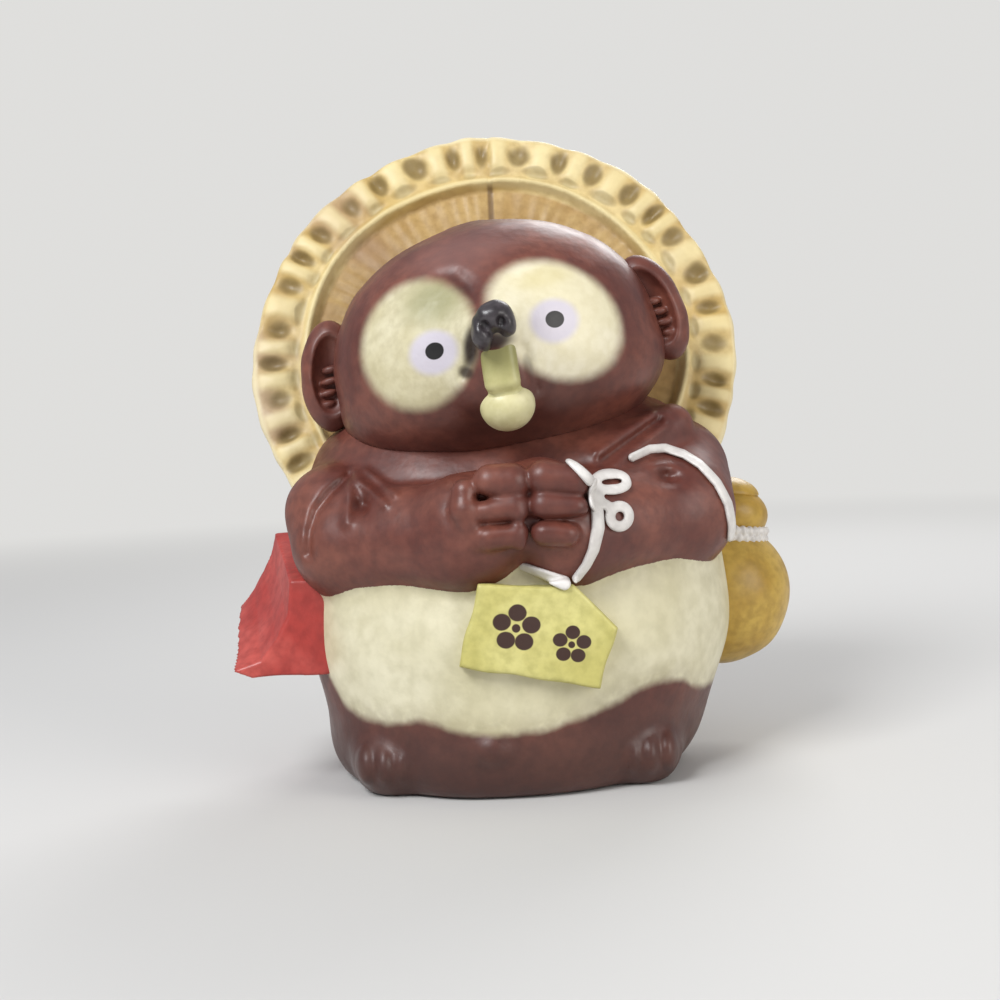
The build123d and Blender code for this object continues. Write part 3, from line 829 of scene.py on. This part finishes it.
class Paint:
    """A painted material that is built up node by node. Masks run from 0 to 1."""

    def __init__(self, name, roughness=0.42, coat=0.15):
        self.material = bpy.data.materials.new(name)
        self.material.use_nodes = True
        self.tree = self.material.node_tree
        self.shader = self.tree.nodes["Principled BSDF"]
        self.shader.inputs["Roughness"].default_value = roughness
        self.shader.inputs["Coat Weight"].default_value = coat
        self.shader.inputs["Coat Roughness"].default_value = 0.35
        self.shader.inputs["Specular IOR Level"].default_value = 0.45
        self.place = self.node("ShaderNodeTexCoord").outputs["Object"]

    def node(self, kind, **values):
        """A node of this paint."""
        return add_node(self.tree, kind, **values)

    def math(self, operation, *values):
        """One operation of arithmetic."""
        made = self.node("ShaderNodeMath", operation=operation)
        for socket, value in zip(made.inputs, values):
            feed(socket, value)
        return made.outputs[0]

    def plus(self, first, second):
        return self.math("ADD", first, second)

    def minus(self, first, second):
        return self.math("SUBTRACT", first, second)

    def times(self, product, *factors):
        for factor in factors:
            product = self.math("MULTIPLY", product, factor)
        return product

    def frame(self, middle, turn=(0, 0, 0), size=(1, 1, 1)):
        """Coordinates in a turned frame, in units of its sizes (millimetres in, unit sphere out)."""
        made = self.node(
            "ShaderNodeMapping", vector_type="TEXTURE",
            Vector=self.place,
            Location=[m * MM for m in middle],
            Rotation=[math.radians(t) for t in turn],
            Scale=[s * MM for s in size],
        )
        return made.outputs[0]

    def parts(self, vector=None):
        """The three coordinates of a vector."""
        return self.node("ShaderNodeSeparateXYZ", Vector=vector or self.place).outputs

    def length(self, vector):
        """The length of a vector."""
        made = self.node("ShaderNodeVectorMath", operation="LENGTH")
        feed(made.inputs[0], vector)
        return made.outputs["Value"]

    def step(self, value, start, end):
        """0 before start and 1 after end, with a smooth change."""
        made = self.node(
            "ShaderNodeMapRange", interpolation_type="SMOOTHSTEP", clamp=True,
            Value=value, From_Min=start, From_Max=end,
        )
        return made.outputs["Result"]

    def fall(self, value, start, end):
        """1 before start and 0 after end, with a smooth change."""
        return self.minus(1.0, self.step(value, start, end))

    def noise(self, scale, detail=3.0):
        """Clouds, with their scale in waves a metre."""
        return self.node("ShaderNodeTexNoise", Vector=self.place, Scale=scale, Detail=detail).outputs["Fac"]

    def spot(self, middle, size, inner, turn=(0, 0, 0), ragged=0.0):
        """A mask: 1 within an ellipsoid, fading out to its edge."""
        reach = self.length(self.frame(middle, turn, size))
        if ragged:
            reach = self.math("MULTIPLY_ADD", self.noise(260.0), ragged, reach)
            reach = self.minus(reach, ragged / 2)
        return self.fall(reach, inner, 1.0)

    def mix(self, mask, under, over, strength=None):
        """One colour over another by a mask."""
        share = mask if strength is None else self.times(mask, strength)
        made = self.node("ShaderNodeMix", data_type="RGBA")
        for index, value in ((0, share), (6, under), (7, over)):
            feed(made.inputs[index], value)
        return made.outputs[2]

    def uneven(self, low, middle, high, scale=55.0):
        """A colour that wanders between three, as brushed paint does."""
        broad = self.step(self.noise(scale, 4.0), 0.35, 0.68)
        fine = self.step(self.noise(scale * 6, 3.0), 0.3, 0.75)
        return self.mix(fine, self.mix(broad, middle, high), low, 0.45)

    def curve(self, value, points, rise):
        """A value read off a smooth curve through points that span its width, as high as rise."""
        made = self.tree.nodes.new("ShaderNodeFloatCurve")
        line = made.mapping.curves[0]
        while len(line.points) < len(points):
            line.points.new(0.5, 0.5)
        low, high = points[0][0], points[-1][0]
        for point, (across, up) in zip(line.points, points):
            point.location = ((across - low) / (high - low), up / rise)
        made.mapping.update()
        share = self.math("DIVIDE", self.minus(value, low * MM), (high - low) * MM)
        feed(made.inputs["Value"], share)
        return self.times(made.outputs[0], rise * MM)

    def finish(self, colour, bump_scale=420.0, bump_strength=0.25, gloss=(0.34, 0.55)):
        """Colour, with an uneven gloss and a fine relief."""
        patches = self.noise(90.0, 4.0)
        sheen = self.node(
            "ShaderNodeMapRange", Value=patches, From_Min=0.3, From_Max=0.7, To_Min=gloss[0], To_Max=gloss[1]
        )
        height = self.plus(self.noise(bump_scale, 5.0), self.times(self.noise(bump_scale / 4), 1.5))
        relief = self.node("ShaderNodeBump", Height=height, Strength=bump_strength, Distance=0.0004)
        feed(self.shader.inputs["Base Color"], colour)
        feed(self.shader.inputs["Roughness"], sheen.outputs["Result"])
        feed(self.shader.inputs["Normal"], relief.outputs["Normal"])
        return self.material


BROWNS = ("43211c", "5f3027", "7b4739")
CREAMS = ("b3ac88", "cfc8a6", "dfd9bd")
# Lower edge of the cream belly: across and up. The brown rises over the feet.
BELLY_EDGE = [
    (-60, 46), (-54, 37), (-49, 29), (-44, 22.5), (-37, 19.8), (-24, 20.6), (-12, 18.6), (3, 18.2),
    (15, 20.4), (26, 24), (36, 27.4), (43, 27.6), (50, 23.5), (60, 22),
]
# Dark marks on the face: the mouth line from the nose down to the corner of the mouth (two marks), which is
# dark paint deepened as painted shade, and painted shade under the nose, in the crease on the left of the
# pad, and in the brow. Across, up, half width, half height, slant and strength.
DARK_PAINT_AND_SHADE = [
    (-6.2, -0.8, 2.8, 7.6, -18.0, 0.95),
    (-8.8, -6.6, 3.0, 2.2, -40.0, 0.85),
    (0.2, -1.0, 6.6, 2.8, 0.0, 0.95),
    (6.6, -9.0, 1.8, 4.4, 0.0, 0.5),
    (-4.8, 16.0, 2.4, 6.5, 30.0, 0.35),
]
# Dark wash and painted shade in the brim's dimples and inside its ridges: shift in flutes, middle radius,
# half length, half width in flutes, and strength.
BRIM_WASH_AND_SHADE = [(0.0, DIMPLE_RADIUS, 5.2, 0.30, 0.72), (0.5, 59.9, 1.9, 0.42, 0.4)]
# Flowers on the tablet: across, up and size
FLOWERS = [(-6.0, 0.6, 1.0), (8.2, -2.2, 0.8)]


def plain_paint(name, low, middle, high, gloss=(0.34, 0.52), scale=60.0):
    """One colour of brushed paint."""
    paint = Paint(name)
    return paint.finish(paint.uneven(low, middle, high, scale), gloss=gloss)


def brown_paint():
    """Brown paint with lighter, worn patches."""
    paint = Paint("brown_paint")
    return paint.finish(paint.uneven(*BROWNS))


def ground_shaded_brown(paint):
    """The brown of the body, with painted shade that darkens it towards the ground."""
    # Painted shade: the lowest band is mixed towards a dark brown
    low = paint.fall(paint.parts()[2], 0.008, 0.034)
    return paint.mix(low, paint.uneven(*BROWNS), "37231e", 0.68)


def base_paint():
    """Brown paint of the feet and the bag, with painted shade towards the ground."""
    paint = Paint("base_paint")
    return paint.finish(ground_shaded_brown(paint))


def body_paint():
    """Brown paint with a cream belly, whose lower edge bends round the feet, and painted shade on the cream
    along that edge and under the arms.
    """
    paint = Paint("body_paint")
    x, y, z = paint.parts()
    ragged = paint.times(paint.minus(paint.noise(120.0), 0.5), 0.003)
    height = paint.minus(z, paint.plus(paint.curve(x, BELLY_EDGE, 60), ragged))
    above = paint.step(height, -0.0014, 0.0018)
    below = paint.fall(z, 0.069, 0.074)
    front = paint.fall(paint.plus(y, ragged), 0.012, 0.020)
    # Painted shade on the cream, broken into speckles, along its lower edge and under the arms
    edge_shade = paint.times(paint.fall(height, 0.0, 0.007), 0.35)
    arm_shade = paint.times(paint.step(z, 0.048, 0.064), 0.3)
    speckle = paint.step(paint.noise(300.0, 4.0), 0.2, 0.6)
    belly_shade = paint.times(paint.math("MAXIMUM", edge_shade, arm_shade), speckle)
    cream = paint.mix(belly_shade, paint.uneven(*CREAMS, 34.0), "7d6f52")
    return paint.finish(paint.mix(paint.times(above, below, front), ground_shaded_brown(paint), cream))


def head_spot(paint, across, up, half_width, half_height, slant, inner, ragged=0.0):
    """A painted oval on the front of the tilted head."""
    angle = math.radians(HEAD_TILT)
    x = HEAD_MIDDLE[0] + across * math.cos(angle) - up * math.sin(angle)
    z = HEAD_MIDDLE[2] + across * math.sin(angle) + up * math.cos(angle)
    middle = (x, HEAD_MIDDLE[1] - 34.0, z)
    return paint.spot(middle, (half_width, 60.0, half_height), inner, (0, -HEAD_TILT - slant, 0), ragged)


def head_paint():
    """Brown head with two cream patches, pale eyes, black pupils and a dark mouth line, with painted
    highlight and shade.
    """
    paint = Paint("head_paint")
    # Painted highlight on the forehead
    forehead_highlight = head_spot(paint, -3.0, 25.0, 22.0, 8.0, 0.0, 0.2)
    colour = paint.mix(forehead_highlight, paint.uneven(*BROWNS), "8a655f", 0.5)
    # Painted shade along the jaw, under the face
    jaw_shade = head_spot(paint, 2.0, -20.0, 34.0, 12.0, 0.0, 0.3)
    colour = paint.mix(jaw_shade, colour, "3b2019", 0.45)
    # Painted shade over the top of each cream patch: olive on the dull one, a thin yellow on the pale one.
    top_shade = head_spot(paint, -12.5, 13.5, 13.0, 10.0, 10.0, 0.15, 0.1)
    dull = paint.mix(top_shade, paint.uneven("aea47f", "c8bf9a", "d8d1b2", 60.0), "86855a", 0.75)
    top_shade = head_spot(paint, 16.0, 13.0, 13.0, 4.5, 0.0, 0.2, 0.1)
    pale = paint.mix(top_shade, paint.uneven("d0c6a0", "e0d8b8", "e8e1c8", 60.0), "c5b670", 0.35)
    colour = paint.mix(head_spot(paint, -19.2, 3.8, 19.0, 17.4, 60.0, 0.78, 0.05), colour, dull)
    colour = paint.mix(head_spot(paint, 16.3, 1.5, 20.8, 16.4, -40.0, 0.78, 0.05), colour, pale)
    for across, up in (RIGHT_EYE, LEFT_EYE):
        white = head_spot(paint, across - 0.3, up - 0.3, 7.8, 6.8, 0.0, 0.66, 0.05)
        pupil = head_spot(paint, across, up, 2.6, 2.3, 0.0, 0.9, 0.03)
        colour = paint.mix(pupil, paint.mix(white, colour, "cac4d0", 0.92), "151314")
    # The mouth line, and painted shade under the nose and in the creases
    for *oval_size, slant, strength in DARK_PAINT_AND_SHADE:
        colour = paint.mix(head_spot(paint, *oval_size, slant, 0.35, 0.1), colour, "2c1a18", strength)
    front = paint.fall(paint.parts()[1], -0.016, -0.012)
    return paint.finish(paint.mix(front, paint.uneven(*BROWNS), colour))


def straw_paint():
    """Straw colour with a dark wash and painted shade in the hollows, painted highlights and mauve shade, an
    ochre inner band and a brown back.
    """
    paint = Paint("straw_paint", 0.5, 0.05)
    across, deep, up = paint.parts(paint.frame(HAT_MIDDLE, (-HAT_LEAN, 0, 0)))
    radius = paint.math("SQRT", paint.plus(paint.times(across, across), paint.times(up, up)))
    angle = paint.math("ARCTAN2", across, up)
    flutes = angle
    for size, count, start in HAT_DRIFT:
        swing = paint.math("SINE", paint.plus(paint.times(angle, count), start))
        flutes = paint.plus(flutes, paint.times(swing, size))
    flutes = paint.math("DIVIDE", flutes, 2 * math.pi / FLUTES)

    def beside(shift):
        """How far the nearest flute's middle is, in flutes."""
        share = paint.math("FRACT", paint.plus(flutes, 0.5 + shift))
        return paint.math("ABSOLUTE", paint.minus(share, 0.5))

    def between(near, far, soft):
        """A mask of a ring."""
        return paint.times(paint.step(radius, near, near + soft), paint.fall(radius, far - soft, far))

    # Painted mauve shade on the figure's right and here and there elsewhere
    patches = paint.times(paint.step(paint.noise(38.0, 2.0), 0.45, 0.65), 0.55)
    shade = paint.times(patches, paint.plus(paint.times(paint.fall(across, -62.0, -8.0), 0.8), 0.2))
    colour = paint.mix(shade, paint.uneven("a18349", "c5a866", "dcc78f", 45.0), "9c7f73")
    # Painted highlight on the crests between the flutes
    light = paint.times(paint.step(beside(0.0), 0.20, 0.42), between(57.0, 72.5, 3.0))
    colour = paint.mix(light, colour, "e6d8a6", 0.6)
    ochre = paint.mix(shade, paint.uneven("836230", "a3804a", "b99a63", 70.0), "86675a")
    colour = paint.mix(paint.fall(radius, HAT_RING - 3.0, HAT_RING - 1.4), colour, ochre, 0.9)
    # Painted highlight along the raised ring
    colour = paint.mix(between(HAT_RING - 1.8, HAT_RING + 1.6, 1.4), colour, "e2d3a0", 0.65)
    loose = paint.minus(paint.noise(70.0, 2.0), 0.5)
    # A dark wash with painted shade in the dimples and the small hollows
    for shift, middle, reach, width, strength in BRIM_WASH_AND_SHADE:
        wandering = paint.plus(paint.minus(radius, middle), paint.times(loose, 5.0))
        along = paint.math("POWER", paint.math("ABSOLUTE", paint.math("DIVIDE", wandering, reach)), 2.0)
        away = paint.plus(along, paint.math("POWER", paint.math("DIVIDE", beside(shift), width), 2.0))
        colour = paint.mix(paint.fall(paint.plus(away, loose), 0.2, 0.95), colour, "69572e", strength)
    seam = paint.fall(paint.math("ABSOLUTE", paint.minus(across, HAT_SEAM)), 0.4, 1.3)
    seam = paint.times(seam, paint.step(up, 0.0, 4.0), between(30.0, HAT_RING, 2.0))
    colour = paint.mix(seam, colour, "5d4632", 0.7)
    # Painted highlight on the brim's edge
    colour = paint.mix(paint.step(radius, 70.2, 71.8), colour, "e9deb8", 0.7)
    brown = paint.uneven("6f5246", "8b6a5a", "a2836f", 50.0)
    return paint.finish(paint.mix(paint.step(deep, 2.6, 4.2), colour, brown, 0.9), 300.0, 0.35, (0.42, 0.62))


def muzzle_paint():
    """The pad's cream in painted shade under the overhanging nose: olive-yellow, and darker olive at the top.
    """
    paint = Paint("muzzle_paint")
    # Painted shade, deepest at the top of the pad under the nose
    high = paint.step(paint.parts()[2], 0.104, 0.114)
    return paint.finish(paint.mix(high, paint.uneven("aaa568", "c3bd84", "d3cd9c", 60.0), "7f7c46", 0.75))


def plaque_paint():
    """Yellow-green tablet with two plum blossoms brushed on it."""
    paint = Paint("plaque_paint")

    def dot(across, up, half_width, half_height, inner, ragged=0.0):
        """An oval on the tablet's face."""
        place = PLAQUE_AXES.astype(float) @ (across, -PLAQUE_SIZE[1] / 2, up) + PLAQUE_MIDDLE
        return paint.spot(tuple(place), (half_width, 6.0, half_height), inner, ragged=ragged)

    dots = []
    for across, up, size in FLOWERS:
        for petal in range(5):
            angle = math.radians(90 + petal * 72)
            petal_x, petal_z = across + 3.9 * size * math.cos(angle), up + 3.9 * size * math.sin(angle)
            dots.append(dot(petal_x, petal_z, 2.5 * size, 2.3 * size, 0.86, 0.08))
        dots.append(dot(across, up, 1.2 * size, 1.2 * size, 0.8))
    ink = dots[0]
    for other in dots[1:]:
        ink = paint.math("MAXIMUM", ink, other)
    ink = paint.times(ink, paint.fall(paint.parts()[1], -0.0545, -0.0535))
    return paint.finish(paint.mix(ink, paint.uneven("97914a", "bfb76a", "d0c982", 60.0), "3a241c"))


# Camera first
camera_data = bpy.data.cameras.new("camera")
camera_data.lens = LENS
camera = add_object("camera", camera_data)
bpy.context.scene.camera = camera
pitched = Matrix.Rotation(math.radians(90 - CAMERA_PITCH), 4, "X")
rolled = Matrix.Rotation(math.radians(-CAMERA_ROLL), 4, "Z")
camera.matrix_world = Matrix.Translation(Vector(CAMERA_PLACE) * MM) @ pitched @ rolled


# Pieces
BODY_NEIGHBOURS = [right_arm_form, left_arm_form, right_foot_form, left_foot_form, tail_form, pouch_form]

paints = {
    "body": body_paint(),
    "head": head_paint(),
    "brown": brown_paint(),
    "base": base_paint(),
    "straw": straw_paint(),
    "nose": plain_paint("nose_paint", "1f1c1d", "322d30", "4f494d", (0.28, 0.42), 150.0),
    "cream": plain_paint("cream_paint", "b9b27c", "cfc894", "ddd7b0"),
    "muzzle": muzzle_paint(),
    "red": plain_paint("red_paint", "7d221e", "a93730", "c2554c"),
    "ochre": plain_paint("ochre_paint", "86681f", "b08a30", "c7a54c"),
    "white": plain_paint("white_paint", "b9b4b0", "d6d2cd", "e4e1dd"),
    "plaque": plaque_paint(),
}

# Node, form, mesh step and paint
PIECES = [
    ("torso_shell", below_ground(owned(torso_form, under=BODY_NEIGHBOURS, lift=0.0)), 0.9, "body"),
    ("head_shell", owned(head_form, [torso_form, left_arm_form], blend=1.2, lift=0.0), 0.8, "head"),
    ("right_arm", owned(right_arm_form, [torso_form, left_arm_form]), 0.65, "brown"),
    ("left_arm", owned(left_arm_form, [torso_form], [right_arm_form]), 0.75, "brown"),
    ("straw_hat", hat_form, 0.75, "straw"),
    ("right_ear", ear_piece(-1), 0.45, "brown"),
    ("left_ear", ear_piece(1), 0.45, "brown"),
    ("nose", nose_form, 0.35, "nose"),
    ("muzzle", owned(muzzle_form, under=[chin_form], blend=1.2, lift=0.0), 0.35, "muzzle"),
    ("chin", owned(chin_form, [muzzle_form], blend=1.2), 0.4, "cream"),
    ("right_foot", below_ground(owned(right_foot_form, [torso_form])), 0.6, "base"),
    ("left_foot", below_ground(owned(left_foot_form, [torso_form])), 0.6, "base"),
    ("money_pouch", below_ground(owned(pouch_form, [torso_form])), 0.5, "base"),
    ("tail", below_ground(owned(tail_form, [torso_form])), 0.8, "brown"),
    ("account_book", book_form, 0.6, "red"),
    ("gourd", gourd_form, 0.8, "ochre"),
    ("gourd_stopper", stopper_form, 0.5, "ochre"),
    ("gourd_cord", waist_cord_form, 0.4, "white"),
    ("shoulder_cord", shoulder_cord_form, 0.45, "white"),
    ("cord_bow", bow_form, 0.35, "white"),
    ("bow_end", bow_end_form, 0.35, "white"),
    ("plaque", plaque_form, 0.5, "plaque"),
    ("plaque_cord", ribbon_form, 0.35, "white"),
    ("plaque_string", string_form, 0.35, "white"),
]
for node, form, mesh_step, look in PIECES:
    made = add_piece(node, form, mesh_step)
    made.data.materials.append(paints[look])


# Floor, light and world
BACKDROP = (0.74, 0.735, 0.72, 1)
FLOOR_COLOUR = (0.60, 0.595, 0.58, 1)
FLOOR_REACH = 9
SKY_COLOUR = (0.95, 0.96, 1.0, 1)
SKY_STRENGTH = 0.40
LAMP_TARGET = Vector((0, 0, 0.09))


def add_floor():
    """A plain pale floor, which far from the figure takes the backdrop's colour."""
    mesh = bpy.data.meshes.new("floor")
    corners = [(x * FLOOR_REACH, y * FLOOR_REACH, 0) for x, y in ((-1, -1), (1, -1), (1, 1), (-1, 1))]
    mesh.from_pydata(corners, [], [(0, 1, 2, 3)])
    floor = add_object("floor", mesh)
    paint = Paint("floor_paint", 0.8, 0.0)
    paint.shader.inputs["Base Color"].default_value = FLOOR_COLOUR
    rays = paint.node("ShaderNodeLightPath")
    far = paint.times(paint.step(paint.length(paint.place), 0.35, 1.3), rays.outputs["Is Camera Ray"])
    glow = paint.node("ShaderNodeEmission", Color=BACKDROP)
    add_shader_mix(paint.tree, far, paint.shader.outputs[0], glow.outputs[0], "Material Output")
    mesh.materials.append(paint.material)


def add_lamp(name, place, size, power, colour):
    """A square soft lamp that faces the figure."""
    data = bpy.data.lights.new(name, "AREA")
    data.size = size
    data.energy = power
    data.color = colour
    lamp = add_object(name, data)
    lamp.location = place
    lamp.rotation_euler = (LAMP_TARGET - Vector(place)).to_track_quat("-Z", "Y").to_euler()


def set_world():
    """Soft light from all round, and a pale backdrop for the camera."""
    world = bpy.data.worlds.new("world")
    bpy.context.scene.world = world
    world.use_nodes = True
    tree = world.node_tree
    glow = tree.nodes["Background"]
    feed(glow.inputs["Color"], SKY_COLOUR)
    feed(glow.inputs["Strength"], SKY_STRENGTH)
    backdrop = add_node(tree, "ShaderNodeBackground", Color=BACKDROP, Strength=1.0)
    seen = add_node(tree, "ShaderNodeLightPath").outputs["Is Camera Ray"]
    add_shader_mix(tree, seen, glow.outputs[0], backdrop.outputs[0], "World Output")


add_floor()
add_lamp("key", (-0.50, -0.65, 0.80), 0.45, 10.5, (0.97, 0.98, 1.0))
add_lamp("fill", (0.75, -0.6, 0.35), 0.6, 4.2, (1.0, 0.97, 0.93))
add_lamp("rim", (0.3, 0.8, 0.7), 0.5, 5.0, (1.0, 1.0, 1.0))
set_world()
bpy.context.scene.view_settings.view_transform = "Standard"
